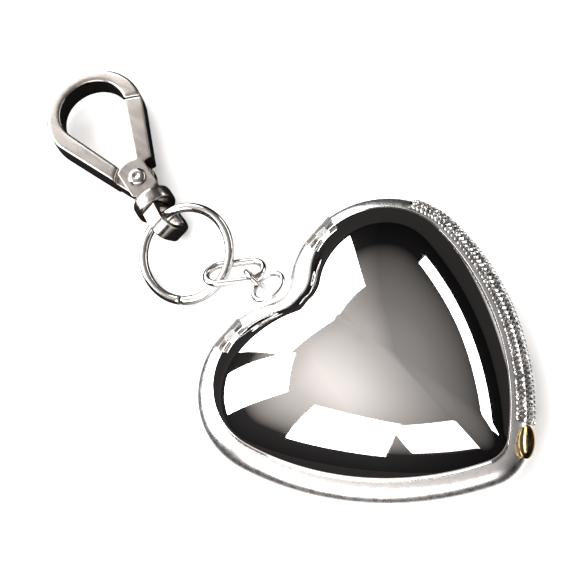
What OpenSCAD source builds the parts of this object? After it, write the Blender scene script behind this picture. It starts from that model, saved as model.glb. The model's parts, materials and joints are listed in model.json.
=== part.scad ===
// Heart-shaped trinket box on a short chain with a swivel snap hook.
// Millimetres, +Z up. The heart lies face up: its tip points along -Y and its cleft along +Y.
// The origin is the centre of the flat patch that the heart rests on.

/* [Heart] */
// Half of the heart's greatest width
half_w = 30.5; // [28:0.5:36]
// Radius of each lobe
lobe_r = 17.6; // [16.5:0.1:18.5]
// Distance from the origin forward to the tip
tip_y = 31; // [26:0.5:37]
// Distance from the origin back to the top of the lobes
top_y = 29; // [27:0.5:34]
// Radius of the rounded tip
tip_r = 9; // [8:0.1:10.5]
// Radius of the long side curves
side_r = 56; // [50:1:80]
// Radius of the fillet in the cleft
cleft_r = 3.5; // [3:0.1:5]

/* [Box] */
// Height of the base's lower bowl, up to the widest line
bowl_h = 8; // [6:0.1:10]
// Height of the rounded shoulder between the widest line and the mouth
shoulder_h = 3.4; // [2.8:0.1:4.2]
// How far the mouth lies inside the widest line
shoulder_w = 3.6; // [3.2:0.1:4.4]
// Height of the lid's dome over its bead
dome_h = 10.5; // [8:0.1:13]
// Height of each bead at the seam
bead_h = 0.5; // [0.4:0.05:0.8]
// Width of each bead
bead_w = 1.5; // [1.3:0.1:2]
// Gap between the two beads when the box is shut
seam_gap = 0.1; // [0.1:0.05:0.2]
// Thickness of the metal shells
shell_t = 0.8; // [0.6:0.05:1]
// Thickness of the velvet linings
lining_t = 0.7; // [0.5:0.05:1]
// Depth of the lid's inner lip below the seam
lip_depth = 1.6; // [1.2:0.1:2]

/* [Stones] */
// Number of rows of stones on the shoulder
stone_rows = 4; // [3:1:4]
// Number of stones along one row
stones_per_row = 42; // [30:1:50]
// Thickness of the strip that the stones are set in
strip_t = 0.25; // [0.2:0.05:0.35]
// Height of a stone over the strip
stone_h = 0.3; // [0.2:0.05:0.5]

/* [Hinge] */
// Outer radius of the hinge knuckles
knuckle_r = 0.9; // [0.8:0.05:1.2]
// Length of a hinge, over all three knuckles
hinge_len = 6.5; // [6:0.5:10]
// Radius of a hinge pin
hinge_pin_r = 0.4; // [0.3:0.05:0.5]

/* [Catch] */
// Width of the oval button, along the seam
button_w = 6.2; // [5:0.1:7]
// Height of the oval button, across the shoulder
button_h = 3.8; // [3.2:0.1:4.4]
// Travel of the button
button_travel = 0.3; // [0.2:0.1:0.7]
// Radius of the button's stem
stem_r = 0.7; // [0.6:0.05:0.75]

/* [Chain] */
// Wire radius of the bail
bail_wire_r = 0.55; // [0.5:0.05:0.6]
// Mean radius of the bail
bail_r = 1.7; // [1.7:0.05:2]
// Wire radius of the small ring
small_wire_r = 0.55; // [0.45:0.05:0.6]
// Mean radius of the small ring
small_ring_r = 3.2; // [3.1:0.05:3.4]
// Wire radius of the joining link
joining_wire_r = 0.5; // [0.4:0.05:0.55]
// Mean radius of the joining link
joining_r = 2.4; // [2.35:0.05:2.5]
// Wire radius of the oval link
oval_wire_r = 0.7; // [0.6:0.05:0.75]
// Mean radius of the oval link's round ends
oval_r = 2.75; // [2.7:0.05:3]
// Length of the oval link's straight sides
oval_straight = 5.8; // [5.4:0.1:7]
// Wire radius of the key ring
key_wire_r = 0.9; // [0.7:0.05:0.95]
// Mean radius of the key ring
key_ring_r = 9.1; // [8.5:0.1:9.6]
// Width of the cut in the key ring
key_cut = 0.45; // [0.3:0.05:0.8]

/* [Snap hook] */
// Distance from the middle of the collar to the middle of the bow's round end
bow_y = 25.2; // [23:0.2:32]
// Outer radius of the bow's round end
bow_out_r = 10.1; // [9.2:0.1:10.8]
// Width of the bow's bar at the top of the bow
bar_w = 2.6; // [2.2:0.1:3.2]
// Thickness of the bow's bar
bar_t = 5; // [4.6:0.1:5.6]
// Outer radius of the collar
collar_r = 4.1; // [3.8:0.1:4.4]
// Length of the collar
collar_len = 3; // [2.8:0.1:4]
// Thickness of the tongue that the gate straddles
tongue_t = 3.2; // [3:0.1:3.4]
// Thickness of each cheek of the gate
cheek_t = 0.55; // [0.4:0.05:0.6]
// Distance from the middle of the collar to the rivet
rivet_y = 6.1; // [6.1:0.1:8]
// Radius of the gate's rivet
rivet_r = 1.1; // [0.9:0.05:1.2]
// Radius of the swivel post
post_r = 1.3; // [1.1:0.05:1.4]

/* [Hidden] */

// Heights
mouth_z = bowl_h + shoulder_h;
seam_z = mouth_z + bead_h;
lid_z = seam_z + seam_gap;
dome_z = lid_z + bead_h;

// Clearances
run_gap = 0.05;
touch_gap = 0.02;
lining_gap = 0.06;
slip_gap = 0.15;
free_gap = 0.3;

// Insets from the widest line
mouth_in = shoulder_w + bead_w;
lip_out = mouth_in + slip_gap;
lip_in = lip_out + 0.6;
dome_in = shoulder_w + 0.25;

// How round the shoulders of the domes are, and how flat their crowns
shoulder_power = 2.2;
dome_power = 2.3;
foot_share = 0.88;
flat_share = 0.42;
cleft_fade = 2;
dome_steps = [1, 0.985, 0.95, 0.9, 0.83, 0.74, 0.62, 0.47, 0.3, 0.14];
bowl_steps = [0.42, 0.56, 0.7, 0.82, 0.91, 0.97, 1];
arch_steps = [15, 30, 45, 60, 75, 90];

// Colours
polished = [0.82, 0.82, 0.84];
satin = [0.72, 0.69, 0.67];
gold = [0.80, 0.66, 0.40];
stone = [0.86, 0.85, 0.84];
velvet = [0.13, 0.12, 0.14];
steel = [0.60, 0.60, 0.62];

// ---------------------------------------------------------------- heart outline

function unit(v) = v / norm(v);
function bearing(a, b) = atan2(b[1] - a[1], b[0] - a[0]);
function on_circle(c, r, a) = c + r * [cos(a), sin(a)];
function arc(c, r, a, b, n) = [for (i = [0 : n - 1]) on_circle(c, r, a + (b - a) * i / n)];

heart_mid = [0, 2];
lobe_mid = [half_w - lobe_r, top_y - lobe_r];
tip_mid = [0, -tip_y + tip_r];
side_span = norm(tip_mid - lobe_mid);
side_dir = unit(tip_mid - lobe_mid);
side_along = (pow(side_r - lobe_r, 2) - pow(side_r - tip_r, 2) + side_span * side_span) / (2 * side_span);
side_across = sqrt(pow(side_r - lobe_r, 2) - side_along * side_along);
side_mid = lobe_mid + side_along * side_dir + side_across * [side_dir[1], -side_dir[0]];
cleft_mid = [0, lobe_mid[1] + sqrt(pow(lobe_r + cleft_r, 2) - lobe_mid[0] * lobe_mid[0])];
cleft_y = cleft_mid[1] - cleft_r;
lobe_end = bearing(side_mid, lobe_mid);
side_end = bearing(side_mid, tip_mid);

// The button sits where the right side curve meets the tip, half-way up the shoulder
catch_turn = 90 + side_end;
catch_rise = 45;

// The right half of the outline from the cleft to the tip, moved inwards by inset
function half_outline(inset) = concat(
    arc(cleft_mid, cleft_r + inset, -90, bearing(cleft_mid, lobe_mid), 4),
    arc(lobe_mid, lobe_r - inset, bearing(lobe_mid, cleft_mid), lobe_end, 12),
    arc(side_mid, side_r - inset, lobe_end, side_end, 11),
    arc(tip_mid, tip_r - inset, side_end, -90, 6),
    [[0, -tip_y + inset]]);
function outline(inset) = let (h = half_outline(inset), n = len(h))
    concat(h, [for (i = [n - 2 : -1 : 1]) [-h[i][0], h[i][1]]]);
outline_n = len(outline(0));

module heart_ring(outer, inner, z0, z1) {
    translate([0, 0, z0]) linear_extrude(z1 - z0) difference() {
        polygon(outline(outer));
        polygon(outline(inner));
    }
}

// ---------------------------------------------------------------- domes and bowls

// The cleft fades out towards the middle of a dome
function faded(p, s) = p[1] < lobe_mid[1] ? p : [p[0], p[1] + (1 - s) * (top_y - cleft_y)
    * pow(max(0, 1 - abs(p[0]) / lobe_mid[0]), cleft_fade)];
function level(inset, s, z) = [for (p = outline(inset))
    let (q = heart_mid + s * (faded(p, s) - heart_mid)) [q[0], q[1], z]];
function rise(s) = sqrt(1 - pow(s, shoulder_power));
// The dome stops short of upright at its foot
function puff(s) = sqrt(1 - pow(s * foot_share, dome_power));
function dome_rise(s) = (puff(s) - puff(1)) / (1 - puff(1));
function bowl_share(s) = (s - flat_share) / (1 - flat_share);

function dome(inset, h, z) = [for (s = dome_steps) level(inset, s, z + h * dome_rise(s))];
function bowl(inset, h, z) = [for (s = bowl_steps) level(inset, s, z + h * (1 - rise(bowl_share(s))))];
// A quarter round from the widest line up and in to the mouth
function arch(inset, w, h, z) = [for (a = arch_steps) level(inset + w * (1 - cos(a)), 1, z + h * sin(a))];
function reversed(v) = [for (i = [len(v) - 1 : -1 : 0]) v[i]];
function mean_point(r) = [heart_mid[0], heart_mid[1], r[0][2]];

// A closed skin over rings of points, with a flat fan at each end
module skin(rings) {
    n = outline_n;
    m = len(rings);
    points = concat([for (r = rings) each r], [mean_point(rings[0]), mean_point(rings[m - 1])]);
    sides = [for (j = [0 : m - 2], i = [0 : n - 1]) let (k = (i + 1) % n)
        each [[j * n + i, j * n + k, (j + 1) * n + i], [j * n + k, (j + 1) * n + k, (j + 1) * n + i]]];
    first = [for (i = [0 : n - 1]) [m * n, (i + 1) % n, i]];
    last = [for (i = [0 : n - 1]) [m * n + 1, (m - 1) * n + i, (m - 1) * n + (i + 1) % n]];
    polyhedron(points, concat(sides, first, last), convexity = 6);
}

// ---------------------------------------------------------------- base

module base_shell() {
    color(polished) difference() {
        skin(concat(
            bowl(0, bowl_h, 0),
            arch(0, shoulder_w, shoulder_h, bowl_h),
            reversed(arch(shell_t, mouth_in - shell_t, shoulder_h - shell_t, bowl_h)),
            reversed(bowl(shell_t, bowl_h - shell_t, shell_t))));
        at_catch() cylinder(r = stem_r + run_gap, h = 4, center = true, $fn = 32);
    }
}

module base_rim() {
    color(polished) heart_ring(shoulder_w - 0.1, mouth_in, mouth_z, seam_z);
}

module base_lining() {
    out = shell_t + lining_gap;
    h = bowl_h - shell_t - lining_gap;
    color(velvet) difference() {
        skin(concat(
            bowl(out, h, shell_t + lining_gap),
            reversed(bowl(out + lining_t, h - lining_t, shell_t + lining_gap + lining_t))));
        at_catch() cylinder(r = cup_r + cup_wall + slip_gap, h = 2 * cup_len, center = true, $fn = 32);
    }
}

// ---------------------------------------------------------------- stones

// Where the strip starts on the right lobe, and its clearance from the button
strip_start = 20;
strip_gap = 0.6;
strip_low = 4;
strip_high = 80;
lobe_len = lobe_r * (strip_start - lobe_end) * PI / 180;
side_len = side_r * (lobe_end - side_end) * PI / 180;
strip_len = lobe_len + side_len - button_w / 2 - strip_gap;

// The point at a distance along the outline from the start of the strip, moved inwards by inset
function walk(d, inset) =
    d < lobe_len ? on_circle(lobe_mid, lobe_r - inset, strip_start - d / lobe_r * 180 / PI)
    : on_circle(side_mid, side_r - inset, lobe_end - (d - lobe_len) / side_r * 180 / PI);
// A point on the shoulder, at angle a up its quarter round and a height over it
function on_shoulder(d, a, over) = let (p = walk(d, shoulder_w * (1 - cos(a)) - over * cos(a)))
    [p[0], p[1], bowl_h + shoulder_h * sin(a) + over * sin(a)];

module stone_strip() {
    m = stone_rows;
    n = stones_per_row;
    function at(i, j, over) = on_shoulder(strip_len * i / n, strip_low + (strip_high - strip_low) * j / m, over);
    back = [for (i = [0 : n], j = [0 : m]) at(i, j, run_gap)];
    front = [for (i = [0 : n], j = [0 : m]) at(i, j, strip_t)];
    tips = [for (i = [0 : n - 1], j = [0 : m - 1]) at(i + 0.5, j + 0.5, strip_t + stone_h)];
    w = m + 1;
    f = len(back);
    t = 2 * f;
    stones = [for (i = [0 : n - 1], j = [0 : m - 1])
        let (a = f + i * w + j, b = a + 1, c = a + w + 1, d = a + w, p = t + i * m + j)
        each [[b, a, p], [c, b, p], [d, c, p], [a, d, p]]];
    backs = [for (i = [0 : n - 1], j = [0 : m - 1]) let (a = i * w + j, b = a + 1, c = a + w + 1, d = a + w)
        each [[a, b, c], [a, c, d]]];
    lows = [for (i = [0 : n - 1]) let (a = i * w, d = a + w) each [[a, d, f + a], [d, f + d, f + a]]];
    highs = [for (i = [0 : n - 1]) let (a = i * w + m, d = a + w) each [[a, f + a, d], [d, f + a, f + d]]];
    starts = [for (j = [0 : m - 1]) let (a = j, b = j + 1) each [[a, f + a, b], [b, f + a, f + b]]];
    ends = [for (j = [0 : m - 1]) let (a = n * w + j, b = a + 1) each [[a, b, f + a], [b, f + b, f + a]]];
    color(stone) polyhedron(concat(back, front, tips), concat(stones, backs, lows, highs, starts, ends));
}

// ---------------------------------------------------------------- lid

module lid_shell() {
    color(polished) skin(concat(
        reversed(dome(dome_in + shell_t, dome_h - shell_t, dome_z)),
        dome(dome_in, dome_h, dome_z)));
}

module lid_rim() {
    color(polished) heart_ring(shoulder_w - 0.1, lip_in, lid_z, dome_z);
}

module lid_lip() {
    color(polished) heart_ring(lip_out, lip_in, seam_z - lip_depth, lid_z);
}

module lid_lining() {
    out = dome_in + shell_t + lining_gap;
    h = dome_h - shell_t - lining_gap;
    color(velvet) skin(concat(
        reversed(dome(out + lining_t, h - lining_t, dome_z)),
        dome(out, h, dome_z)));
}

// ---------------------------------------------------------------- hinges, one behind each lobe

knuckle_gap = 0.15;
knuckle_len = (hinge_len - 2 * knuckle_gap) / 3;
hinge_y = top_y - shoulder_w + knuckle_r + free_gap;
hinge_z = seam_z + 0.5;
hinge_bore_r = hinge_pin_r + run_gap;
foot_w = 1.3;
foot_sink = 0.55;
tab_t = 0.55;
tab_sink = 0.6;

module at_hinges() {
    for (side = [-1, 1]) translate([side * lobe_mid[0], hinge_y, hinge_z]) children();
}
module along_x(r, len, x = 0) {
    translate([x, 0, 0]) rotate([0, 90, 0]) cylinder(r = r, h = len, center = true, $fn = 40);
}

module hinge_base_knuckles() {
    drop = hinge_z - mouth_z + foot_sink;
    color(polished) at_hinges() difference() {
        for (k = [-1, 1]) {
            x = k * (knuckle_len + knuckle_gap);
            along_x(knuckle_r, knuckle_len, x);
            translate([x - knuckle_len / 2, -foot_w / 2, -drop]) cube([knuckle_len, foot_w, drop]);
        }
        along_x(hinge_bore_r, hinge_len + 1);
    }
}

module hinge_lid_knuckles() {
    reach = knuckle_r + free_gap + tab_sink + dome_in - shoulder_w;
    color(polished) at_hinges() difference() {
        union() {
            along_x(knuckle_r, knuckle_len);
            translate([-knuckle_len / 2, -reach, dome_z + touch_gap - hinge_z]) cube([knuckle_len, reach, tab_t]);
        }
        along_x(hinge_bore_r, hinge_len + 1);
    }
}

module hinge_pins() {
    color(steel) at_hinges() along_x(hinge_pin_r, hinge_len);
}

// ---------------------------------------------------------------- catch, beside the tip

cup_r = 1.45;
cup_wall = 0.4;
cup_top = -1.75;
cup_len = 4;
piston_r = 1.2;
piston_top = -1.5;
piston_t = 0.5;
spring_r = 1.08;
spring_wire = 0.15;
spring_turns = 4;
cap_t = 0.6;
cap_gap = button_travel + 0.1;
cap_ball = 7;
claw_w = 2;
claw_t = 0.7;
claw_top = seam_z - 0.6;

// Local frame of the tip: -Y outwards through the button
module at_tip() {
    translate([tip_mid[0], tip_mid[1], 0]) rotate([0, 0, catch_turn]) children();
}
catch_out = tip_r - shoulder_w * (1 - cos(catch_rise));
catch_z = bowl_h + shoulder_h * sin(catch_rise);
// Local frame of the catch: on the middle of the shoulder, +Z outwards
module at_catch() {
    at_tip() translate([0, -catch_out, catch_z]) rotate([90 - catch_rise, 0, 0]) children();
}
function oval(w, h, n = 40) = [for (i = [0 : n - 1]) [w / 2 * cos(i * 360 / n), h / 2 * sin(i * 360 / n)]];

// The stem runs inwards to a claw that rises behind the lid's lip
claw_out = tip_r - lip_in - free_gap;
stem_in = (catch_out - claw_out + claw_t / 2) / cos(catch_rise);
claw_low = catch_z - stem_in * sin(catch_rise) - stem_r;

module catch_button() {
    color(gold) {
        at_catch() {
            intersection() {
                translate([0, 0, cap_gap]) linear_extrude(cap_t + 1) polygon(oval(button_w, button_h));
                translate([0, 0, cap_gap + cap_t - cap_ball]) sphere(r = cap_ball, $fn = 64);
            }
            translate([0, 0, -stem_in]) cylinder(r = stem_r, h = stem_in + cap_gap + 0.3, $fn = 32);
            translate([0, 0, piston_top - piston_t]) cylinder(r = piston_r, h = piston_t, $fn = 32);
        }
        at_tip() translate([-claw_w / 2, -claw_out, claw_low]) cube([claw_w, claw_t, claw_top - claw_low]);
    }
}

module catch_guide() {
    color(steel) at_catch() difference() {
        translate([0, 0, -cup_len]) cylinder(r = cup_r + cup_wall, h = cup_len + cup_top, $fn = 40);
        translate([0, 0, -cup_len + cup_wall]) cylinder(r = cup_r, h = cup_len, $fn = 40);
        translate([0, 0, -cup_len - 1]) cylinder(r = stem_r + run_gap, h = cup_len, $fn = 32);
    }
}

module catch_spring() {
    low = -cup_len + cup_wall + spring_wire + touch_gap;
    high = piston_top - piston_t - spring_wire - touch_gap;
    color(steel) at_catch() for (i = [0 : spring_turns - 1])
        translate([0, 0, low + (high - low) * i / (spring_turns - 1)]) ring(spring_r, spring_wire);
}

// ---------------------------------------------------------------- chain

module ring(r, wire) {
    rotate_extrude($fn = 64) translate([r, 0]) circle(r = wire, $fn = 24);
}
// Places a link: its middle, the direction its hole faces, and the direction of its long axis
module placed(c, n, u) {
    z = unit(n);
    x = unit(u - (u * z) * z);
    y = cross(z, x);
    multmatrix([[x[0], y[0], z[0], c[0]], [x[1], y[1], z[1], c[1]], [x[2], y[2], z[2], c[2]], [0, 0, 0, 1]])
        children();
}

// The middle of a link that hangs in the one before: the way it lies, its reach when taut, and its slack
function linked(from, way, reach, slack) = from + (reach - slack) * unit(way);

bail_sink = 0.5;
bail_mid = [0, cleft_y + bail_r + bail_wire_r - bail_sink, bowl_h + 1];
small_ring_mid = linked(bail_mid, [-0.22, 2.6, -1.8], bail_r - bail_wire_r + small_ring_r - small_wire_r, 0.63);
small_ring_face = [0, 0.49, 0.87];
joining_mid = linked(small_ring_mid, [-0.06, 3.74, -1.7],
    small_ring_r - small_wire_r + joining_r - joining_wire_r, 0.441);
joining_face = [0.96, -0.12, 0.24];
oval_mid = linked(joining_mid, [-0.85, 5.08, -1.67],
    joining_r - joining_wire_r + oval_r - oval_wire_r + oval_straight / 2, 1.435);
oval_along = [0.69, -0.72, 0.01];
oval_across = [-0.66, -0.63, 0.41];
key_mid = linked(oval_mid, [-2.81, 10.51, -0.01],
    oval_r - oval_wire_r + oval_straight / 2 + key_ring_r - key_wire_r, 2.271);
key_face = [-0.33, -0.06, 0.94];
key_cut_turn = 208;

module bail() {
    color(polished) placed(bail_mid, [1, 0, 0], [0, 1, 0]) ring(bail_r, bail_wire_r);
}
module small_ring() {
    color(polished) placed(small_ring_mid, small_ring_face, [1, 0, 0]) ring(small_ring_r, small_wire_r);
}
module joining_link() {
    color(polished) placed(joining_mid, joining_face, [0, 1, 0]) ring(joining_r, joining_wire_r);
}
module oval_link() {
    color(polished) placed(oval_mid, cross(oval_along, oval_across), oval_along) for (s = [-1, 1]) {
        translate([s * oval_straight / 2, 0, 0]) rotate([0, 0, s * 90 - 90]) rotate([0, 0, -90])
            rotate_extrude(angle = 180, $fn = 48) translate([oval_r, 0]) circle(r = oval_wire_r, $fn = 24);
        translate([0, s * oval_r, 0]) rotate([0, 90, 0])
            cylinder(r = oval_wire_r, h = oval_straight, center = true, $fn = 24);
    }
}
module key_ring() {
    color(polished) placed(key_mid, key_face, [1, 0, 0]) difference() {
        ring(key_ring_r, key_wire_r);
        rotate([0, 0, key_cut_turn]) translate([key_ring_r, 0, 0]) cube([4, key_cut, 4], center = true);
    }
}

// ---------------------------------------------------------------- swivel snap hook

hook_turn = 73;
hook_way = [3.91, 11.99, 0.38];
hook_slack = 0.617;
eye_roll = 62;
eye_w = 8.4;
eye_strap = 3.4;
eye_bridge = 0.8;
eye_wall = 1.3;
eye_end_r = 3.2;
slot_r = 1.6;
slot_w = 5.4;
slot_len = 4.75;
head_r = 2.2;
head_t = 1.2;
collar_front = collar_len / 2;
bow_lean = 0.7;
bow_in_r = bow_out_r - bar_w - bow_lean;
neck_w = 5;
cheek_r = 4.3;
cheek_w = 5.8;
nose_y = bow_y - 2.3;
nose_r = norm([bow_out_r - 1.9, nose_y - rivet_y]);
gate_gap = 0.15;
rivet_head_r = 1.9;
rivet_head_t = 0.8;

hook_mid = key_mid + (key_ring_r + key_wire_r + eye_bridge + gate_gap + collar_front + hook_slack) * unit(hook_way);

// Local frame of the hook: the middle of its collar, +Y towards the bow, +Z up
module at_hook() {
    translate(hook_mid) rotate([0, 0, hook_turn - 90]) children();
}
module along_y(r, y0, y1) {
    translate([0, y0, 0]) rotate([-90, 0, 0]) cylinder(r = r, h = y1 - y0, $fn = 48);
}
module slab(t) {
    translate([0, 0, -t / 2]) linear_extrude(t) children();
}

module teardrop() {
    difference() {
        hull() {
            translate([0, bow_y - bow_lean]) circle(r = bow_out_r, $fn = 72);
            translate([0, rivet_y]) circle(r = neck_w / 2 + 0.9, $fn = 32);
        }
        hull() {
            translate([0, bow_y]) circle(r = bow_in_r, $fn = 64);
            translate([0, rivet_y + cheek_r - 1]) circle(r = 1.6, $fn = 32);
        }
    }
}
// The side of the bow that the gate closes, up to a nose cut on a curve about the rivet
module gate_side() {
    intersection() {
        translate([0.3, rivet_y]) square([bow_out_r + 2, bow_y]);
        translate([0, rivet_y]) circle(r = nose_r, $fn = 96);
    }
}

module swivel_eye() {
    start = -collar_front - gate_gap;
    slot_start = start - eye_bridge;
    end = slot_start - slot_len - eye_wall;
    color(satin) at_hook() rotate([0, eye_roll, 0]) difference() {
        slab(eye_strap) difference() {
            hull() for (x = [-1, 1]) {
                translate([x * (eye_w / 2 - eye_end_r), end + eye_end_r]) circle(r = eye_end_r, $fn = 40);
                translate([x * (eye_w / 2 - 1), start - 0.5]) circle(r = 0.5, $fn = 24);
            }
            hull() for (x = [-1, 1], y = [slot_start - slot_r, slot_start - slot_len + slot_r])
                translate([x * (slot_w / 2 - slot_r), y]) circle(r = slot_r, $fn = 32);
        }
        along_y(post_r + touch_gap, slot_start - 1, 0);
    }
}

module swivel_post() {
    color(steel) at_hook() {
        along_y(post_r, -collar_front - gate_gap - eye_bridge, -0.35);
        along_y(head_r, -0.35, -0.35 + head_t);
    }
}

module hook_body() {
    color(satin) at_hook() difference() {
        union() {
            along_y(collar_r, -collar_front, collar_front);
            slab(tongue_t) difference() {
                union() {
                    translate([-neck_w / 2, collar_front - 0.4]) square([neck_w, rivet_y - collar_front + 0.4]);
                    translate([0, rivet_y]) circle(r = neck_w / 2 + 0.4, $fn = 48);
                    intersection() {
                        teardrop();
                        translate([0, rivet_y]) circle(r = cheek_r + 1.2, $fn = 48);
                    }
                }
                gate_room();
            }
            slab(bar_t) difference() {
                teardrop();
                gate_side();
                translate([0, rivet_y]) circle(r = cheek_r + gate_gap, $fn = 64);
            }
        }
        along_y(post_r + run_gap, -collar_front - 1, 0);
        along_y(head_r + run_gap, -0.4, -0.4 + head_t + 0.15);
        translate([0, rivet_y, 0]) cylinder(r = rivet_r + touch_gap, h = bar_t + 2, center = true, $fn = 32);
        translate([0, rivet_y, 0]) cylinder(r = 1.9, h = 1.2, center = true, $fn = 32);
    }
}
// Room for the gate's bar beside the tongue
module gate_room() {
    difference() {
        gate_side();
        translate([0, rivet_y]) circle(r = cheek_r - 0.9, $fn = 48);
    }
}

module gate() {
    inner = tongue_t / 2 + run_gap;
    color(satin) at_hook() difference() {
        union() {
            for (s = [-1, 1]) translate([0, 0, s * (inner + cheek_t / 2)]) slab(cheek_t) {
                intersection() {
                    translate([0, rivet_y]) circle(r = cheek_r, $fn = 64);
                    translate([-cheek_w / 2, rivet_y - cheek_r]) square([cheek_w, 2 * cheek_r]);
                }
                gate_bar(0);
            }
            slab(2 * inner) gate_bar(cheek_r - 0.75);
        }
        translate([0, rivet_y, 0]) cylinder(r = rivet_r + run_gap, h = bar_t + 2, center = true, $fn = 32);
    }
}
module gate_bar(clear) {
    difference() {
        intersection() {
            teardrop();
            translate([0.8, rivet_y + 2.4]) square([bow_out_r + 2, bow_y]);
            translate([0, rivet_y]) circle(r = nose_r - gate_gap, $fn = 96);
        }
        if (clear > 0) translate([0, rivet_y]) circle(r = clear, $fn = 48);
    }
}

module gate_rivet() {
    reach = tongue_t / 2 + run_gap + cheek_t + run_gap;
    head_ball = 3.4;
    color(satin) at_hook() translate([0, rivet_y, 0]) {
        cylinder(r = rivet_r, h = 2 * reach + 0.2, center = true, $fn = 32);
        for (s = [0, 180]) rotate([s, 0, 0]) intersection() {
            translate([0, 0, reach]) cylinder(r = rivet_head_r, h = rivet_head_t, $fn = 40);
            translate([0, 0, reach + rivet_head_t - head_ball]) sphere(r = head_ball, $fn = 48);
        }
    }
}

module gate_spring() {
    color(steel) at_hook() translate([0, rivet_y, 0]) for (z = [-0.22, 0.22])
        translate([0, 0, z]) ring(1.5, 0.2);
}

base_shell();
base_rim();
stone_strip();
base_lining();
lid_shell();
lid_rim();
lid_lip();
lid_lining();
hinge_base_knuckles();
hinge_lid_knuckles();
hinge_pins();
catch_button();
catch_guide();
catch_spring();
bail();
small_ring();
joining_link();
oval_link();
key_ring();
swivel_eye();
swivel_post();
hook_body();
gate();
gate_rivet();
gate_spring();
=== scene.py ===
import json
import math

import bmesh
import bpy
from bpy.props import FloatProperty, FloatVectorProperty, IntProperty, PointerProperty
from mathutils import Matrix, Vector


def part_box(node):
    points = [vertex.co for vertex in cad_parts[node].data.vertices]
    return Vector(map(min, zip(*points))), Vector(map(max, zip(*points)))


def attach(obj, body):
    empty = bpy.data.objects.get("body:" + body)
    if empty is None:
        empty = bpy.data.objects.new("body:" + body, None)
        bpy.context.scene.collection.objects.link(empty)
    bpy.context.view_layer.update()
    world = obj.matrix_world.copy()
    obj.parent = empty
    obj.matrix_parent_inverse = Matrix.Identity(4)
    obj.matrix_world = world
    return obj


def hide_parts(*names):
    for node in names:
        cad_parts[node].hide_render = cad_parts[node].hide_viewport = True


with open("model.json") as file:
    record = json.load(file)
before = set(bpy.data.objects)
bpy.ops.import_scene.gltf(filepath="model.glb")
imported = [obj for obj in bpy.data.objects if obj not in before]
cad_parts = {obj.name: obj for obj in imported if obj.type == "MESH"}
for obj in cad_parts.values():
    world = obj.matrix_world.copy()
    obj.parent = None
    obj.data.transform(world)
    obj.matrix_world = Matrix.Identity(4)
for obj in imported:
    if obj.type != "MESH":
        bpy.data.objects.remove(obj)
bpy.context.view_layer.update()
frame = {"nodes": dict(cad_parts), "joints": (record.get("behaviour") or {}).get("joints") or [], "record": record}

bl_info = {
    "name": "Heart trinket box",
    "version": (1, 0, 0),
    "blender": (4, 5, 0),
    "location": "View3D > Sidebar > Heart box",
    "description": "Builds the polished heart box, its chain and its snap hook",
    "category": "Add Mesh",
}

MM = 0.001
UP = Vector((0, 0, 1))

# Shape values, in millimetres unless they are shares
HEART_MID = Vector((0, 2, 0))   # the point that the dome and the bowl draw in to
ROUND_REACH = 24.0              # the radius that the dome's upper levels turn towards
DOME_FOOT = 0.88                # share of the dome's curve at its foot: 1 would be upright
DOME_POWER = 2.3
BOWL_FOOT = 0.42                # share of the outline that rests on the table
BOWL_POWER = 2.2
LID_INSET = 0.25                # from the shoulder's inner edge to the dome's foot
SHOULDER_ANGLES = (90, 82, 70, 57, 44, 31, 19, 9)
DOME_STEPS = (1, 0.985, 0.965, 0.94, 0.91, 0.87, 0.82, 0.76, 0.69, 0.6, 0.5, 0.39, 0.28, 0.17, 0.08)
BOWL_STEPS = (1, 0.99, 0.97, 0.94, 0.89, 0.82, 0.73, 0.63, 0.53, 0.44, 0.42, 0.28, 0.14)
MERGE = 1e-6                    # points nearer than this become one, in metres


def joint(name):
    """The record of one joint."""
    return next(j for j in frame["joints"] if j["name"] == name)


def middle(node):
    """The middle of a CAD node's box, in millimetres."""
    low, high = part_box(node)
    return (low + high) / 2 / MM


# ---------------------------------------------------------------- sizes and colours


def length(name, text, value):
    """A size given in millimetres and kept in metres."""
    return FloatProperty(name=name, description=text, default=value * MM, min=0, precision=5,
                         unit="LENGTH", subtype="DISTANCE")


def colour(name, text, value):
    return FloatVectorProperty(name=name, description=text, default=value, size=3, min=0, max=1,
                               subtype="COLOR")


class HeartSizes(bpy.types.PropertyGroup):
    half_width: length("Half width", "Half of the heart's greatest width", 30.5)
    lobe_radius: length("Lobe radius", "Radius of each lobe", 17.6)
    tip: length("Tip", "Distance from the origin forward to the tip", 31)
    top: length("Top", "Distance from the origin back to the lobes' tops", 29)
    tip_radius: length("Tip radius", "Radius of the rounded tip", 9)
    side_radius: length("Side radius", "Radius of the long side curves", 56)
    cleft_radius: length("Cleft radius", "Radius of the fillet in the cleft", 3.5)
    bowl_height: length("Bowl height", "Height of the widest line over the table", 8)
    shoulder_height: length("Shoulder height", "Height of the rounded shoulder", 3.4)
    shoulder_width: length("Shoulder width", "How far the shoulder comes in", 3.6)
    dome_height: length("Dome height", "Height of the lid's dome over its bead", 10.5)
    bead_height: length("Bead height", "Height of each bead at the seam", 0.5)
    bead_width: length("Bead width", "Width of each bead", 1.5)
    seam_gap: length("Seam gap", "Gap between the beads when shut", 0.1)
    shell: length("Shell", "Thickness of the polished shells", 0.8)
    lining: length("Lining", "Thickness of the velvet linings", 0.62)
    stone_rows: IntProperty(name="Stone rows", description="Rows of stones on the shoulder",
                            default=5, min=3, max=6)
    stones_in_row: IntProperty(name="Stones in a row", description="Stones along one row",
                               default=54, min=30, max=60)


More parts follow.
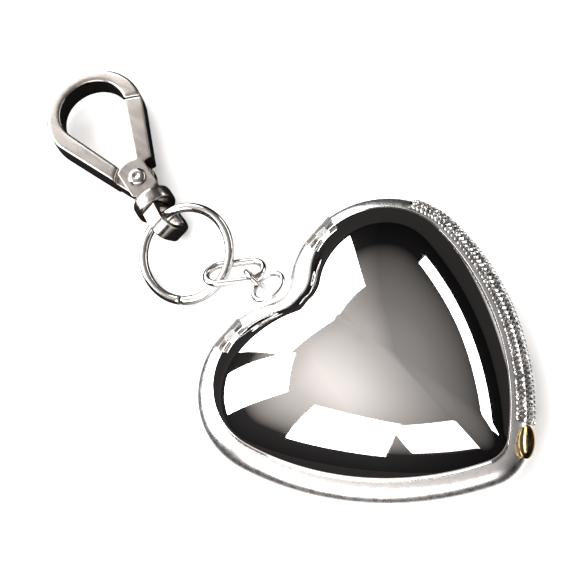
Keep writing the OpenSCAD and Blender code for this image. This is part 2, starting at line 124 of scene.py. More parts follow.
class ChainSizes(bpy.types.PropertyGroup):
    bail_radius: length("Bail", "Mean radius of the bail", 1.7)
    bail_wire: length("Bail wire", "Wire radius of the bail", 0.55)
    small_radius: length("Small ring", "Mean radius of the small ring", 3.2)
    small_wire: length("Small ring wire", "Wire radius of the small ring", 0.55)
    joining_radius: length("Joining link", "Mean radius of the joining link", 2.4)
    joining_wire: length("Joining wire", "Wire radius of the joining link", 0.5)
    oval_radius: length("Oval link", "Mean radius of the oval link's ends", 2.75)
    oval_straight: length("Oval straight", "Length of the oval link's straight sides", 5.8)
    oval_wire: length("Oval wire", "Wire radius of the oval link", 0.7)
    key_radius: length("Key ring", "Mean radius of the key ring", 9.1)
    key_wire: length("Key ring wire", "Wire radius of the key ring", 0.9)
    key_cut: length("Key ring cut", "Width of the cut in the key ring", 0.45)
    voxel: length("Casting grain", "Size of the grid that softens the cast edges", 0.16)


class Finishes(bpy.types.PropertyGroup):
    mirror: colour("Mirror polish", "Colour of the polished shells", (0.87, 0.86, 0.85))
    nickel: colour("Bright nickel", "Colour of the chain's wire", (0.62, 0.605, 0.59))
    satin: colour("Satin nickel", "Colour of the snap hook", (0.37, 0.345, 0.325))
    gold: colour("Gold", "Colour of the catch button", (0.50, 0.37, 0.19))
    stone: colour("Stones", "Colour of the small stones", (0.72, 0.71, 0.70))
    velvet: colour("Velvet", "Colour of the linings", (0.035, 0.032, 0.042))
    steel: colour("Steel", "Colour of the pins and springs", (0.55, 0.55, 0.57))
    floor: colour("Floor", "Colour of the table under the box", (0.93, 0.93, 0.93))


# ---------------------------------------------------------------- finishes


def new_material(name):
    """A material with its shader and a point in the piece's own space."""
    material = bpy.data.materials.new(name)
    material.use_nodes = True
    nodes = material.node_tree.nodes
    shader = nodes["Principled BSDF"]
    where = nodes.new("ShaderNodeTexCoord")
    return material, shader, where.outputs["Object"]


def grain(material, where, scale, detail=2.0, stretch=None):
    """Fine noise over the piece. stretch, if given, is its scale along x, y and z and its turn."""
    tree = material.node_tree
    noise = tree.nodes.new("ShaderNodeTexNoise")
    noise.inputs["Scale"].default_value = scale
    noise.inputs["Detail"].default_value = detail
    if stretch is None:
        tree.links.new(where, noise.inputs["Vector"])
    else:
        turn = tree.nodes.new("ShaderNodeMapping")
        turn.inputs["Rotation"].default_value = (0, 0, stretch[3])
        turn.inputs["Scale"].default_value = stretch[:3]
        tree.links.new(where, turn.inputs["Vector"])
        tree.links.new(turn.outputs["Vector"], noise.inputs["Vector"])
    return noise.outputs["Fac"]


def between(material, value, low, high, start=0.3, end=0.7):
    """Maps a noise value to a range."""
    tree = material.node_tree
    node = tree.nodes.new("ShaderNodeMapRange")
    node.inputs["From Min"].default_value = start
    node.inputs["From Max"].default_value = end
    node.inputs["To Min"].default_value = low
    node.inputs["To Max"].default_value = high
    tree.links.new(value, node.inputs["Value"])
    return node.outputs["Result"]


def tinted(material, shader, value, first, second):
    """Colours the piece between two near tones."""
    tree = material.node_tree
    node = tree.nodes.new("ShaderNodeValToRGB")
    node.color_ramp.elements[0].position = 0.35
    node.color_ramp.elements[1].position = 0.65
    node.color_ramp.elements[0].color = (*first, 1)
    node.color_ramp.elements[1].color = (*second, 1)
    tree.links.new(value, node.inputs["Fac"])
    tree.links.new(node.outputs["Color"], shader.inputs["Base Color"])


def rippled(material, shader, value, strength, distance):
    """Raises the surface a little by a noise value."""
    tree = material.node_tree
    node = tree.nodes.new("ShaderNodeBump")
    node.inputs["Strength"].default_value = strength
    node.inputs["Distance"].default_value = distance
    tree.links.new(value, node.inputs["Height"])
    tree.links.new(node.outputs["Normal"], shader.inputs["Normal"])


def darker(tone, share):
    """The tone at a share of its brightness."""
    return tuple(c * share for c in tone)


def metal(name, tone, low, high, scale, stretch=None, ripple=0.0):
    """A metal whose polish wanders between two roughnesses."""
    material, shader, where = new_material(name)
    shader.inputs["Metallic"].default_value = 1.0
    marks = grain(material, where, scale, 4.0, stretch)
    clouds = grain(material, where, 60.0)
    material.node_tree.links.new(between(material, marks, low, high), shader.inputs["Roughness"])
    tinted(material, shader, clouds, darker(tone, 0.96), tone)
    if ripple:
        rippled(material, shader, marks, ripple, 0.00002)
    return material


def velvet_material(tone):
    """Short pile: rough, with a soft sheen and a nap that lies in patches."""
    material, shader, where = new_material("velvet_pile")
    shader.inputs["Roughness"].default_value = 0.95
    shader.inputs["Sheen Weight"].default_value = 0.8
    shader.inputs["Sheen Roughness"].default_value = 0.35
    nap = grain(material, where, 140.0, 3.0)
    pile = grain(material, where, 4200.0)
    tinted(material, shader, nap, darker(tone, 0.6), tone)
    rippled(material, shader, pile, 0.5, 0.0002)
    return material


def stone_material(tone):
    """Foil-backed clear stones, each a little lighter or darker than the next."""
    material, shader, where = new_material("clear_stones")
    tree = material.node_tree
    cells = tree.nodes.new("ShaderNodeTexVoronoi")
    cells.inputs["Scale"].default_value = 900.0
    tree.links.new(where, cells.inputs["Vector"])
    shade = tree.nodes.new("ShaderNodeSeparateColor")
    tree.links.new(cells.outputs["Color"], shade.inputs["Color"])
    tinted(material, shader, shade.outputs["Red"], darker(tone, 0.45), tone)
    shader.inputs["Metallic"].default_value = 0.85
    shader.inputs["IOR"].default_value = 1.9
    shader.inputs["Coat Weight"].default_value = 0.6
    tree.links.new(between(material, shade.outputs["Green"], 0.03, 0.16, 0.0, 1.0),
                   shader.inputs["Roughness"])
    return material


def floor_material(tone):
    """A matt pale table with a faint unevenness. Polished pieces see it dark away from the box: a painted
    reflection, since only glossy rays see the near-black there while the camera sees the table pale.
    """
    box_mid, near, away = (0, -0.006, 0), 0.036, 0.052
    material, shader, where = new_material("pale_table")
    shader.inputs["Roughness"].default_value = 0.85
    tinted(material, shader, grain(material, where, 3.0), darker(tone, 0.985), tone)
    tree = material.node_tree
    far = tree.nodes.new("ShaderNodeVectorMath")
    far.operation = "DISTANCE"
    far.inputs[1].default_value = box_mid
    tree.links.new(where, far.inputs[0])
    # painted reflection: glossy rays see the table near-black beyond a radius from the box, so the polished shells
    # show a dark surround that the pale table does not have
    path = tree.nodes.new("ShaderNodeLightPath")
    both = tree.nodes.new("ShaderNodeMath")
    both.operation = "MULTIPLY"
    tree.links.new(between(material, far.outputs["Value"], 0.0, 1.0, near, away), both.inputs[0])
    tree.links.new(path.outputs["Is Glossy Ray"], both.inputs[1])
    dark = tree.nodes.new("ShaderNodeBsdfDiffuse")
    dark.inputs["Color"].default_value = (0.012, 0.011, 0.011, 1)
    mix = tree.nodes.new("ShaderNodeMixShader")
    tree.links.new(both.outputs["Value"], mix.inputs["Fac"])
    tree.links.new(shader.outputs["BSDF"], mix.inputs[1])
    tree.links.new(dark.outputs["BSDF"], mix.inputs[2])
    tree.links.new(mix.outputs["Shader"], tree.nodes["Material Output"].inputs["Surface"])
    return material


SLOT_FINISH = {}


def make_finishes(tones):
    """One material for each slot of the record, and one for the table."""
    SLOT_FINISH.update({
        "mirror_metal": metal("mirror_polish", tones.mirror, 0.015, 0.04, 900.0),
        "soft_polish": metal("soft_polish", tones.mirror, 0.24, 0.32, 700.0),
        "nickel_wire": metal("bright_nickel", tones.nickel, 0.07, 0.16, 1400.0),
        "satin_metal": metal("satin_nickel", tones.satin, 0.17, 0.25, 900.0,
                             (1.0, 0.2, 1.0, -0.3), 0.04),
        "gold_metal": metal("polished_gold", tones.gold, 0.08, 0.18, 1200.0),
        "stones": stone_material(tones.stone),
        "velvet": velvet_material(tones.velvet),
        "inner_steel": metal("plain_steel", tones.steel, 0.3, 0.45, 1800.0, None, 0.1),
        "table": floor_material(tones.floor),
    })


# ---------------------------------------------------------------- modelling helpers


def deselect_all():
    if bpy.context.object and bpy.context.object.mode != "OBJECT":
        bpy.ops.object.mode_set(mode="OBJECT")
    bpy.ops.object.select_all(action="DESELECT")


def pick(*objs):
    """Selects these pieces alone; the first is the active one."""
    deselect_all()
    for obj in objs:
        obj.select_set(True)
    bpy.context.view_layer.objects.active = objs[0]
    return objs[0]


def added(name):
    """Names the piece that was just added."""
    obj = bpy.context.object
    obj.name = obj.data.name = name
    return obj


def work(obj, kind, **settings):
    """Adds one modifier with its settings and applies it."""
    pick(obj)
    bpy.ops.object.modifier_add(type=kind)
    modifier = obj.modifiers[-1]
    for key, value in settings.items():
        setattr(modifier, key, value)
    bpy.ops.object.modifier_apply(modifier=modifier.name)
    return obj


def subdivide_smooth(obj, levels):
    """Subdivides the piece's surface and rounds it."""
    return work(obj, "SUBSURF", levels=levels, render_levels=levels)


def combine(obj, other, how):
    """Cuts, joins or keeps what is common, and removes the other piece."""
    work(obj, "BOOLEAN", object=other, operation=how, solver="EXACT")
    bpy.data.objects.remove(other)
    return obj


def join(*objs):
    """Joins the pieces into the first one."""
    pick(*objs)
    bpy.ops.object.join()
    return objs[0]


def lay_loops(name, loops, closed=False, peak=False):
    """A circle is laid on the first loop and drawn out to each of the others.

    closed joins the last loop to the first; peak closes the last loop to a point.
    """
    deselect_all()
    bpy.ops.mesh.primitive_circle_add(vertices=len(loops[0]), radius=1, fill_type="NOTHING")
    obj = added(name)
    bpy.ops.object.mode_set(mode="EDIT")
    bpy.ops.mesh.select_mode(type="EDGE")
    bpy.ops.mesh.select_all(action="SELECT")
    mesh = bmesh.from_edit_mesh(obj.data)
    place = mesh.verts.layers.int.new("place")
    for i, vert in enumerate(mesh.verts):
        vert[place] = i
        vert.co = loops[0][i] * MM
    bmesh.update_edit_mesh(obj.data)
    for loop in loops[1:] + ([loops[0]] if closed else []):
        bpy.ops.mesh.extrude_edges_indiv()
        mesh = bmesh.from_edit_mesh(obj.data)
        place = mesh.verts.layers.int["place"]
        for vert in mesh.verts:
            if vert.select:
                vert.co = loop[vert[place]] * MM
        bmesh.update_edit_mesh(obj.data)
    if peak:
        bpy.ops.mesh.extrude_edges_indiv()
        bpy.ops.mesh.merge(type="CENTER")
    bpy.ops.mesh.select_all(action="SELECT")
    bpy.ops.mesh.remove_doubles(threshold=MERGE)
    bpy.ops.mesh.normals_make_consistent(inside=False)
    bpy.ops.object.mode_set(mode="OBJECT")
    obj.data.attributes.remove(obj.data.attributes["place"])
    return obj


def circle_loop(r, z, n=48, wide=1.0):
    """A circle of n points at a height, stretched along x by wide."""
    turns = [2 * math.pi * i / n for i in range(n)]
    return [Vector((wide * r * math.cos(a), r * math.sin(a), z)) for a in turns]


def turned(name, profile, n=48, wide=1.0):
    """A solid turned from pairs of radius and height, closed at both ends."""
    loops = [circle_loop(r, z, n, wide) for r, z in profile]
    obj = lay_loops(name, loops, peak=True)
    pick(obj)
    bpy.ops.object.mode_set(mode="EDIT")
    bpy.ops.mesh.select_all(action="SELECT")
    bpy.ops.mesh.fill_holes(sides=0)
    bpy.ops.mesh.normals_make_consistent(inside=False)
    bpy.ops.object.mode_set(mode="OBJECT")
    return obj


def put(obj, matrix):
    """Sets the piece at its place; the place goes into its mesh."""
    pick(obj)
    obj.matrix_world = matrix
    bpy.ops.object.transform_apply(location=True, rotation=True, scale=True)
    return obj


def placed(mid, face, along):
    """A link's place: its middle, the way its hole faces and the way it lies, in millimetres."""
    z = Vector(face).normalized()
    x = Vector(along)
    x = (x - x.dot(z) * z).normalized()
    y = z.cross(x)
    turn = Matrix((x, y, z)).transposed().to_4x4()
    return Matrix.Translation(Vector(mid) * MM) @ turn


def finish_piece(obj, slot, body, *nodes, angle=None):
    """Shades the piece, gives it its finish and lets it ride on its body.

    Edges sharper than angle stay sharp: none do if it is left out, and all do if it is 0.
    """
    pick(obj)
    if angle is None:
        bpy.ops.object.shade_smooth()
    elif angle == 0:
        bpy.ops.object.shade_flat()
    else:
        bpy.ops.object.shade_smooth_by_angle(angle=math.radians(angle))
    obj.data.materials.clear()
    obj.data.materials.append(SLOT_FINISH[slot])
    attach(obj, body)
    if nodes:
        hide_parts(*nodes)
    return obj


# ---------------------------------------------------------------- the heart's outline, in millimetres


class Outline:
    """The heart's outline: a fillet in the cleft, a lobe, a long side curve and a rounded tip."""

    def __init__(self, s):
        self.half_width, self.tip_y, self.top_y = s.half_width / MM, s.tip / MM, s.top / MM
        self.lobe_r, self.side_r = s.lobe_radius / MM, s.side_radius / MM
        self.tip_r, self.cleft_r = s.tip_radius / MM, s.cleft_radius / MM
        self.lobe_mid = Vector((self.half_width - self.lobe_r, self.top_y - self.lobe_r))
        self.tip_mid = Vector((0, self.tip_r - self.tip_y))
        span = (self.tip_mid - self.lobe_mid).length
        way = (self.tip_mid - self.lobe_mid).normalized()
        to_lobe, to_tip = self.side_r - self.lobe_r, self.side_r - self.tip_r
        along = (to_lobe ** 2 - to_tip ** 2 + span ** 2) / (2 * span)
        across = math.sqrt(to_lobe ** 2 - along ** 2)
        self.side_mid = self.lobe_mid + along * way + across * Vector((way.y, -way.x))
        climb = math.sqrt((self.lobe_r + self.cleft_r) ** 2 - self.lobe_mid.x ** 2)
        self.cleft_mid = Vector((0, self.lobe_mid.y + climb))
        self.cleft_y = self.cleft_mid.y - self.cleft_r
        self.lobe_end = self.bearing(self.side_mid, self.lobe_mid)
        self.side_end = self.bearing(self.side_mid, self.tip_mid)

    @staticmethod
    def bearing(a, b):
        """The angle of the way from a to b."""
        return math.atan2(b.y - a.y, b.x - a.x)

    @staticmethod
    def arc(mid, r, a, b, n):
        """Points on an arc from angle a to angle b, without its last one."""
        angles = [a + (b - a) * i / n for i in range(n)]
        return [Vector((mid.x + r * math.cos(t), mid.y + r * math.sin(t), 0)) for t in angles]

    def loop(self, inset, z=0.0):
        """The whole outline, moved inwards by inset, at a height."""
        down = -math.pi / 2
        cleft_end = self.bearing(self.cleft_mid, self.lobe_mid)
        lobe_start = self.bearing(self.lobe_mid, self.cleft_mid)
        half = (self.arc(self.cleft_mid, self.cleft_r + inset, down, cleft_end, 4)
                + self.arc(self.lobe_mid, self.lobe_r - inset, lobe_start, self.lobe_end, 21)
                + self.arc(self.side_mid, self.side_r - inset, self.lobe_end, self.side_end, 23)
                + self.arc(self.tip_mid, self.tip_r - inset, self.side_end, down, 5)
                + [Vector((0, inset - self.tip_y, 0))])
        whole = half + [Vector((-p.x, p.y, 0)) for p in half[-2:0:-1]]
        return [Vector((p.x, p.y, z)) for p in whole]

    def level(self, inset, s, z, roundness=0.0):
        """The outline drawn in towards the heart's middle to share s.

        The cleft fades on the way, and roundness turns the loop towards a circle.
        """
        found = []
        for p in self.loop(inset):
            if p.y > self.lobe_mid.y:
                fade = max(0.0, 1 - abs(p.x) / self.lobe_mid.x) ** 2
                p = Vector((p.x, p.y + (1 - s) * (self.top_y - self.cleft_y) * fade, 0))
            arm = p - HEART_MID
            arm = arm.lerp(arm.normalized() * ROUND_REACH, roundness * (1 - s))
            q = HEART_MID + s * arm
            found.append(Vector((q.x, q.y, z)))
        return found

    def walk(self, d, start, inset):
        """The point at distance d along the outline from an angle on the right lobe, and the way
        out from it."""
        lobe_len = self.lobe_r * (start - self.lobe_end)
        if d < lobe_len:
            mid, r, a = self.lobe_mid, self.lobe_r, start - d / self.lobe_r
        else:
            mid, r, a = self.side_mid, self.side_r, self.lobe_end - (d - lobe_len) / self.side_r
        out = Vector((math.cos(a), math.sin(a), 0))
        return Vector((mid.x, mid.y, 0)) + (r - inset) * out, out

    def run_length(self, start):
        """The outline's length from an angle on the right lobe to the end of the side."""
        return self.lobe_r * (start - self.lobe_end) + self.side_r * (self.lobe_end - self.side_end)


def bowl_rise(s):
    """How high a rounded bowl stands at share s, from 1 at its middle to 0 at its edge."""
    return math.sqrt(max(0.0, 1 - s ** BOWL_POWER))


def dome_rise(s):
    """How high a dome stands at share s: it stops short of upright at its foot."""
    def puff(t):
        return math.sqrt(1 - (t * DOME_FOOT) ** DOME_POWER)
    return (puff(s) - puff(1)) / (1 - puff(1))


def dome_loops(line, inset, height, z):
    """Loops of a dome from its foot to near its top."""
    return [line.level(inset, s, z + height * dome_rise(s), 0.8) for s in DOME_STEPS]


def bowl_loops(line, inset, height, z):
    """Loops of a bowl from its widest line down to near the middle of its flat foot."""
    found = []
    for s in BOWL_STEPS:
        share = max(0.0, (s - BOWL_FOOT) / (1 - BOWL_FOOT))
        found.append(line.level(inset, s, z + height * (1 - bowl_rise(share))))
    return found


def lid_foot(s):
    """The height of the dome's foot, on top of both beads, in millimetres."""
    return (s.bowl_height + s.shoulder_height + 2 * s.bead_height + s.seam_gap) / MM


def catch_place(line, s):
    """The middle of the shoulder beside the tip, with +Z outwards through the button."""
    out = Vector((math.cos(line.side_end), math.sin(line.side_end), 0))
    reach = line.tip_r - s.shoulder_width / MM * (1 - math.cos(math.pi / 4))
    mid = Vector((line.tip_mid.x, line.tip_mid.y, 0)) + reach * out
    mid.z = (s.bowl_height + s.shoulder_height * math.sin(math.pi / 4)) / MM
    way = -Vector(joint("catch_press")["axis"])
    return placed(mid, way, out.cross(UP))


# ---------------------------------------------------------------- operators


class HEARTBOX_OT_finishes(bpy.types.Operator):
    """Make the finishes and give them to the CAD pieces that stay"""
    bl_idname = "heartbox.finishes"
    bl_label = "Finishes"

    def execute(self, context):
        make_finishes(context.scene.heart_finishes)
        slots = {p["node"]: p["material_slot"] for p in frame["record"]["subparts"]}
        for node, obj in frame["nodes"].items():
            obj.data.materials.clear()
            obj.data.materials.append(SLOT_FINISH[slots[node]])
        return {"FINISHED"}


class HEARTBOX_OT_shells(bpy.types.Operator):
    """Raise the polished base and lid"""
    bl_idname = "heartbox.shells"
    bl_label = "Polished shells"

    def execute(self, context):
        s = context.scene.heart_sizes
        line = Outline(s)
        bowl, high, wide = s.bowl_height / MM, s.shoulder_height / MM, s.shoulder_width / MM
        arch = [line.loop(wide * (1 - math.cos(a)), bowl + high * math.sin(a))
                for a in map(math.radians, SHOULDER_ANGLES)]
        base = lay_loops("polished_base", arch + bowl_loops(line, 0, bowl, 0), peak=True)
        subdivide_smooth(base, 2)
        work(base, "SOLIDIFY", thickness=s.shell, offset=-1)
        finish_piece(base, "soft_polish", "base", "base_shell", angle=35)
        dome = dome_loops(line, wide + LID_INSET, s.dome_height / MM, lid_foot(s))
        lid = lay_loops("polished_lid", dome, peak=True)
        subdivide_smooth(lid, 2)
        work(lid, "SOLIDIFY", thickness=s.shell, offset=-1)
        finish_piece(lid, "mirror_metal", "lid", "lid_shell", angle=35)
        return {"FINISHED"}


class HEARTBOX_OT_beads(bpy.types.Operator):
    """Run the two polished beads round the seam"""
    bl_idname = "heartbox.beads"
    bl_label = "Seam beads"

    def execute(self, context):
        s = context.scene.heart_sizes
        line = Outline(s)
        wide, h = s.shoulder_width / MM, s.bead_height / MM
        low = (s.bowl_height + s.shoulder_height) / MM
        high = low + h + s.seam_gap / MM
        inner = wide + s.bead_width / MM
        proud, lip_room = 0.1, 0.75

        def bead(name, inner, z, body, node):
            """A bead with a rounded outer edge, its lower face at height z."""
            outer = wide - proud
            section = [(inner, z), (outer + 0.5, z), (outer + 0.22, z + 0.03),
                       (outer + 0.04, z + h * 0.28), (outer, z + h * 0.5),
                       (outer + 0.04, z + h * 0.72), (outer + 0.22, z + h - 0.03),
                       (outer + 0.5, z + h), (inner, z + h)]
            obj = lay_loops(name, [line.loop(i, q) for i, q in section], closed=True)
            subdivide_smooth(obj, 1)
            finish_piece(obj, "mirror_metal", body, node, angle=60)

        bead("base_bead", inner, low, "base", "base_rim")
        bead("lid_bead", inner + lip_room, high, "lid", "lid_rim")
        return {"FINISHED"}


class HEARTBOX_OT_stones(bpy.types.Operator):
    """Set the small stones along the right shoulder"""
    bl_idname = "heartbox.stones"
    bl_label = "Stones"

    def execute(self, context):
        s = context.scene.heart_sizes
        line = Outline(s)
        wide, high, bowl = s.shoulder_width / MM, s.shoulder_height / MM, s.bowl_height / MM
        start = math.radians(20)
        button_room, plate_top, plate_thick = 3.7, 0.24, 0.17
        run = line.run_length(start) - button_room
        low, top = math.radians(4), math.radians(80)

        def spot(d, a, over):
            """A place on the shoulder, with its +Z outwards."""
            inset = wide * (1 - math.cos(a)) - over * math.cos(a)
            p, out = line.walk(d, start, inset)
            p.z = bowl + (high + over) * math.sin(a)
            face = (out * math.cos(a) * high + UP * math.sin(a) * wide).normalized()
            return placed(p, face, out.cross(UP))

        rows, count = s.stone_rows, s.stones_in_row
        pitch = run / count
        tall = (wide + high) / 2 * (top - low) / rows
        girdle = min(pitch, tall) / 2 * 0.94
        most_lean = 0.05

        deselect_all()
        bpy.ops.mesh.primitive_grid_add(x_subdivisions=72, y_subdivisions=9, size=2)
        plate = added("stone_plate")
        for vert in plate.data.vertices:
            d, a = (vert.co.x + 1) / 2 * run, low + (top - low) * (vert.co.y + 1) / 2
            vert.co = spot(d, a, plate_top).translation
        inwards = -1 if plate.data.polygons[0].normal.z > 0 else 1
        work(plate, "SOLIDIFY", thickness=plate_thick * MM, offset=inwards)
        finish_piece(plate, "nickel_wire", "base", angle=40)

        cut = [(girdle * 0.55, -0.02), (girdle, 0.11), (girdle, 0.14), (girdle * 0.62, 0.25)]
        stone = turned("stone_cut", cut, n=8)
        claw = turned("claw_bead", [(0.13, -0.02), (0.13, 0.12), (0.08, 0.2)], n=5)

        def set_copy(pattern, place):
            """Puts a copy of the stone or the claw at a place."""
            copy = pattern.copy()
            copy.data = pattern.data.copy()
            copy.data.transform(place)
            context.collection.objects.link(copy)
            return copy

        stones, claws = [], []
        for j in range(rows):
            odd = j % 2
            shift = 0.5 * odd
            for i in range(count - odd):
                turn = Matrix.Rotation(0.41 * (i * 7 % 5) + 0.3 * j, 4, "Z")
                lean = Matrix.Rotation(most_lean * ((i * 5 + j * 3) % 7 - 3) / 3, 4, "X")
                lean @= Matrix.Rotation(most_lean * ((i * 3 + j * 5) % 5 - 2) / 2, 4, "Y")
                a = low + (top - low) * (j + 0.5) / rows
                seat = spot(pitch * (i + 0.5 + shift), a, plate_top)
                stones.append(set_copy(stone, seat @ lean @ turn))
                if j < rows - 1:
                    a = low + (top - low) * (j + 1) / rows
                    seat = spot(pitch * (i + 0.75 + shift / 2), a, plate_top + 0.02)
                    claws.append(set_copy(claw, seat))
        bpy.data.objects.remove(stone)
        bpy.data.objects.remove(claw)
        stones = join(*stones)
        stones.name = stones.data.name = "small_stones"
        finish_piece(stones, "stones", "base", "stone_strip", angle=0)
        claws = join(*claws)
        claws.name = claws.data.name = "stone_claws"
        finish_piece(claws, "nickel_wire", "base")
        return {"FINISHED"}


class HEARTBOX_OT_linings(bpy.types.Operator):
    """Line the base and the lid with velvet"""
    bl_idname = "heartbox.linings"
    bl_label = "Velvet linings"

    def execute(self, context):
        s = context.scene.heart_sizes
        line = Outline(s)
        wide, shell, bowl = s.shoulder_width / MM, s.shell / MM, s.bowl_height / MM
        room, catch_room = 0.05, 2.05
        loops = bowl_loops(line, shell + room, bowl - shell - 2 * room, shell + room)
        tray = lay_loops("velvet_tray", loops, peak=True)
        subdivide_smooth(tray, 1)
        work(tray, "SOLIDIFY", thickness=s.lining, offset=-1)
        deselect_all()
        bpy.ops.mesh.primitive_cylinder_add(vertices=40, radius=catch_room * MM, depth=8 * MM)
        cutter = put(added("catch_room"), catch_place(line, s))
        combine(tray, cutter, "DIFFERENCE")
        finish_piece(tray, "velvet", "base", "base_lining", angle=50)
        loops = dome_loops(line, wide + LID_INSET + shell + 0.06, s.dome_height / MM - shell - 0.08,
                           lid_foot(s) + 0.03)
        cap = lay_loops("velvet_cap", loops, peak=True)
        subdivide_smooth(cap, 1)
        work(cap, "SOLIDIFY", thickness=s.lining, offset=-1)
        finish_piece(cap, "velvet", "lid", "lid_lining", angle=50)
        return {"FINISHED"}


class HEARTBOX_OT_button(bpy.types.Operator):
    """Make the gold catch button with its stem and claw"""
    bl_idname = "heartbox.button"
    bl_label = "Catch button"

    def execute(self, context):
        s = context.scene.heart_sizes
        line = Outline(s)
        place = catch_place(line, s)
        half_long, half_wide, stem_in = 3.1, 1.9, 5.6
        cap = turned("gold_button", [(1.4, 0.4), (1.72, 0.41), (1.88, 0.5), (half_wide, 0.58),
                                     (1.78, 0.72), (1.5, 0.86), (1.1, 0.95), (0.6, 0.995),
                                     (0.25, 1.0)], wide=half_long / half_wide)
        subdivide_smooth(cap, 1)
        stem = turned("button_stem", [(0.7, -stem_in), (0.7, 0.6), (0.4, 0.62)], n=32)
        stop = turned("button_stop", [(1.0, -2.0), (1.2, -1.95), (1.2, -1.55), (1.0, -1.5)], n=32)
        for piece in (cap, stem, stop):
            put(piece, place)
        out = Vector((math.cos(line.side_end), math.sin(line.side_end), 0))
        claw_wide, claw_thick, claw_in = 2.0, 0.7, 6.5
        claw_mid = Vector((line.tip_mid.x, line.tip_mid.y, 0)) + out * (line.tip_r - claw_in)
        claw_top = (s.bowl_height + s.shoulder_height + s.bead_height) / MM - 0.6
        claw_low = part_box("catch_button")[0].z / MM
        deselect_all()
        bpy.ops.mesh.primitive_cube_add(
            size=1, scale=(claw_wide * MM, claw_thick * MM, (claw_top - claw_low) * MM))
        claw = added("button_claw")
        work(claw, "BEVEL", width=0.12 * MM, segments=2)
        claw_mid.z = (claw_low + claw_top) / 2
        turn = Matrix.Rotation(line.side_end + math.pi / 2, 4, "Z")
        put(claw, Matrix.Translation(claw_mid * MM) @ turn)
        finish_piece(join(cap, stem, stop, claw), "gold_metal", "catch", "catch_button", angle=40)
        return {"FINISHED"}


def wire_ring(name, node, face, radius, wire, cut=0.0, cut_turn=0.0):
    """A round wire bent to a ring about the middle of a CAD node, with a cut if one is given."""
    deselect_all()
    bpy.ops.mesh.primitive_circle_add(
        vertices=20, radius=wire * MM, fill_type="NGON" if cut else "NOTHING",
        location=(radius * MM, 0, 0), rotation=(math.pi / 2, 0, 0))
    obj = added(name)
    bpy.ops.object.transform_apply(location=True, rotation=True, scale=True)
    bpy.ops.object.mode_set(mode="EDIT")
    bpy.ops.mesh.select_all(action="SELECT")
    gap = cut / radius
    bpy.ops.mesh.spin(steps=96, angle=2 * math.pi - gap, center=(0, 0, 0), axis=(0, 0, 1))
    bpy.ops.mesh.select_all(action="SELECT")
    bpy.ops.mesh.remove_doubles(threshold=MERGE)
    bpy.ops.mesh.normals_make_consistent(inside=False)
    bpy.ops.object.mode_set(mode="OBJECT")
    if cut:
        work(obj, "BEVEL", width=0.12 * MM, segments=2, limit_method="ANGLE",
             angle_limit=math.radians(60))
    place = placed(middle(node), face, (1, 0, 0))
    return put(obj, place @ Matrix.Rotation(cut_turn + gap / 2, 4, "Z"))


class HEARTBOX_OT_chain(bpy.types.Operator):
    """Bend the rings and links of the chain"""
    bl_idname = "heartbox.chain"
    bl_label = "Chain"

    def execute(self, context):
        c = context.scene.heart_chain
        fine_cut, fine_turn, key_turn = 0.06, 0.6, math.radians(208)
        rings = (("bail_loop", "bail", "base", (1, 0, 0),
                  c.bail_radius, c.bail_wire, 0.0, fine_turn),
                 ("small_round_ring", "small_ring", "small_ring", (0, 0.49, 0.87),
                  c.small_radius, c.small_wire, fine_cut, fine_turn),
                 ("small_joining_link", "joining_link", "joining_link", (0.96, -0.12, 0.24),
                  c.joining_radius, c.joining_wire, fine_cut, fine_turn),
                 ("split_key_ring", "key_ring", "key_ring", (-0.33, -0.06, 0.94),
                  c.key_radius, c.key_wire, c.key_cut / MM, key_turn))
        for name, node, body, face, radius, wire, cut, cut_turn in rings:
            obj = wire_ring(name, node, face, radius / MM, wire / MM, cut, cut_turn)
            finish_piece(obj, "nickel_wire", body, node, angle=50)
        deselect_all()
        bpy.ops.mesh.primitive_torus_add(major_segments=96, minor_segments=20,
                                         major_radius=c.oval_radius, minor_radius=c.oval_wire)
        oval = added("long_oval_link")
        for side in (1, -1):
            pick(oval)
            bpy.ops.object.mode_set(mode="EDIT")
            bpy.ops.mesh.select_mode(type="VERT")
            bpy.ops.mesh.select_all(action="DESELECT")
            mesh = bmesh.from_edit_mesh(oval.data)
            for vert in mesh.verts:
                vert.select_set(vert.co.x * side > 1e-5)
            bmesh.update_edit_mesh(oval.data)
            bpy.ops.transform.translate(value=(side * c.oval_straight / 2, 0, 0))
            bpy.ops.object.mode_set(mode="OBJECT")
        along, across = Vector((0.69, -0.72, 0.01)), Vector((-0.66, -0.63, 0.41))
        put(oval, placed(middle("oval_link"), along.cross(across), along))
        finish_piece(oval, "nickel_wire", "oval_link", "oval_link")
        return {"FINISHED"}


def soft_casting(name, node, voxel, rounds, place):
    """A cast piece with softened edges: the plain shape in its own frame, on a fine grid, then
    worn smooth."""
    source = frame["nodes"][node]
    obj = bpy.data.objects.new(name, source.data.copy())
    bpy.context.collection.objects.link(obj)
    obj.data.name = name
    obj.data.transform(place.inverted())
    pick(obj)
    bpy.ops.object.mode_set(mode="EDIT")
    bpy.ops.mesh.select_all(action="SELECT")
    bpy.ops.mesh.remove_doubles(threshold=MERGE)
    bpy.ops.object.mode_set(mode="OBJECT")
    work(obj, "REMESH", mode="VOXEL", voxel_size=voxel)
    work(obj, "SMOOTH", factor=0.5, iterations=rounds)
    return put(obj, place)


